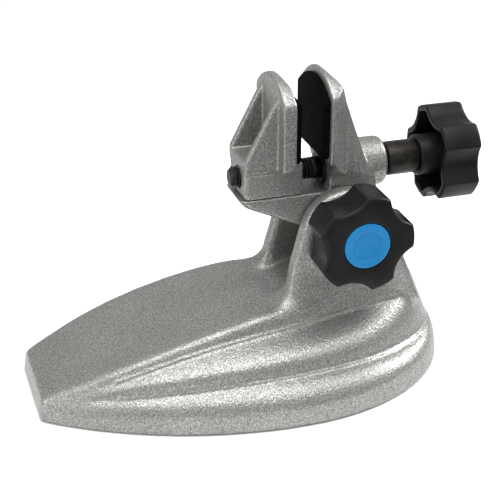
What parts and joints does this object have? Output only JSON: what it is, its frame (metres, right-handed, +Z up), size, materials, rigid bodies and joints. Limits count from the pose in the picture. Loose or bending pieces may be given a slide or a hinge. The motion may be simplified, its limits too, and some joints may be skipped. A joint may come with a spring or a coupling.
{
  "type": "micrometer stand",
  "caption": "Bench stand with a heavy cast base, a forked column, a tilting head, a screw-driven sliding jaw facing a fixed jaw, and two lobed knobs.",
  "frame": {"origin": "on the base's underside, directly below the tilt axis", "axes": "+Z up; +X from the base's narrow nose to its wide rear, along the clamp screw; the tilt knob is on the -Y side"},
  "size_m": [0.1665, 0.1006, 0.1138],
  "materials": {
    "hammertone_casting": "silver hammertone paint on a rough casting",
    "pad_rubber": "matt black",
    "black_plastic": "moulded, slight gloss",
    "blue_cap": "glossy",
    "brass_insert": "turned",
    "black_steel": "black oxide",
    "zinc_steel": "zinc plated",
    "nylon": "natural"
  },
  "bodies": {
    "base": {"base_casting": "hammertone_casting", "tilt_bolt": "zinc_steel", "tilt_bolt_washer": "zinc_steel", "tilt_knob_washer": "zinc_steel", "near_friction_washer": "nylon", "far_friction_washer": "nylon"},
    "head": {"swivel_head": "hammertone_casting", "fixed_jaw_pad": "pad_rubber"},
    "jaw": {"sliding_jaw": "hammertone_casting", "sliding_jaw_pad": "pad_rubber"},
    "clamp": {"clamp_screw": "black_steel", "clamp_retainer": "black_steel", "clamp_sleeve": "black_steel", "clamp_knob": "black_plastic", "clamp_knob_insert": "brass_insert", "clamp_knob_cap": "blue_cap"},
    "tilt_lock": {"tilt_knob": "black_plastic", "tilt_knob_insert": "brass_insert", "tilt_knob_cap": "blue_cap"}
  },
  "joints": [
    {"name": "head_tilt", "type": "hinge", "parent": "base", "child": "head", "pos_m": [0, 0, 0.0585], "axis": [0, 1, 0], "range_deg": [-45, 35]},
    {"name": "clamp_screw_turn", "type": "hinge", "parent": "head", "child": "clamp", "pos_m": [0, 0, 0.076], "axis": [-1, 0, 0], "range_deg": [-1152, 2160]},
    {"name": "jaw_slide", "type": "slide", "parent": "head", "child": "jaw", "axis": [1, 0, 0], "range_m": [-0.004, 0.0075]},
    {"name": "tilt_knob_turn", "type": "hinge", "parent": "base", "child": "tilt_lock", "pos_m": [0, 0, 0.0585], "axis": [0, -1, 0], "range_deg": [0, 360]}
  ],
  "couplings": [
    {"joint": "clamp_screw_turn", "follows": "jaw_slide", "rad_per_m": 5026.5}
  ]
}
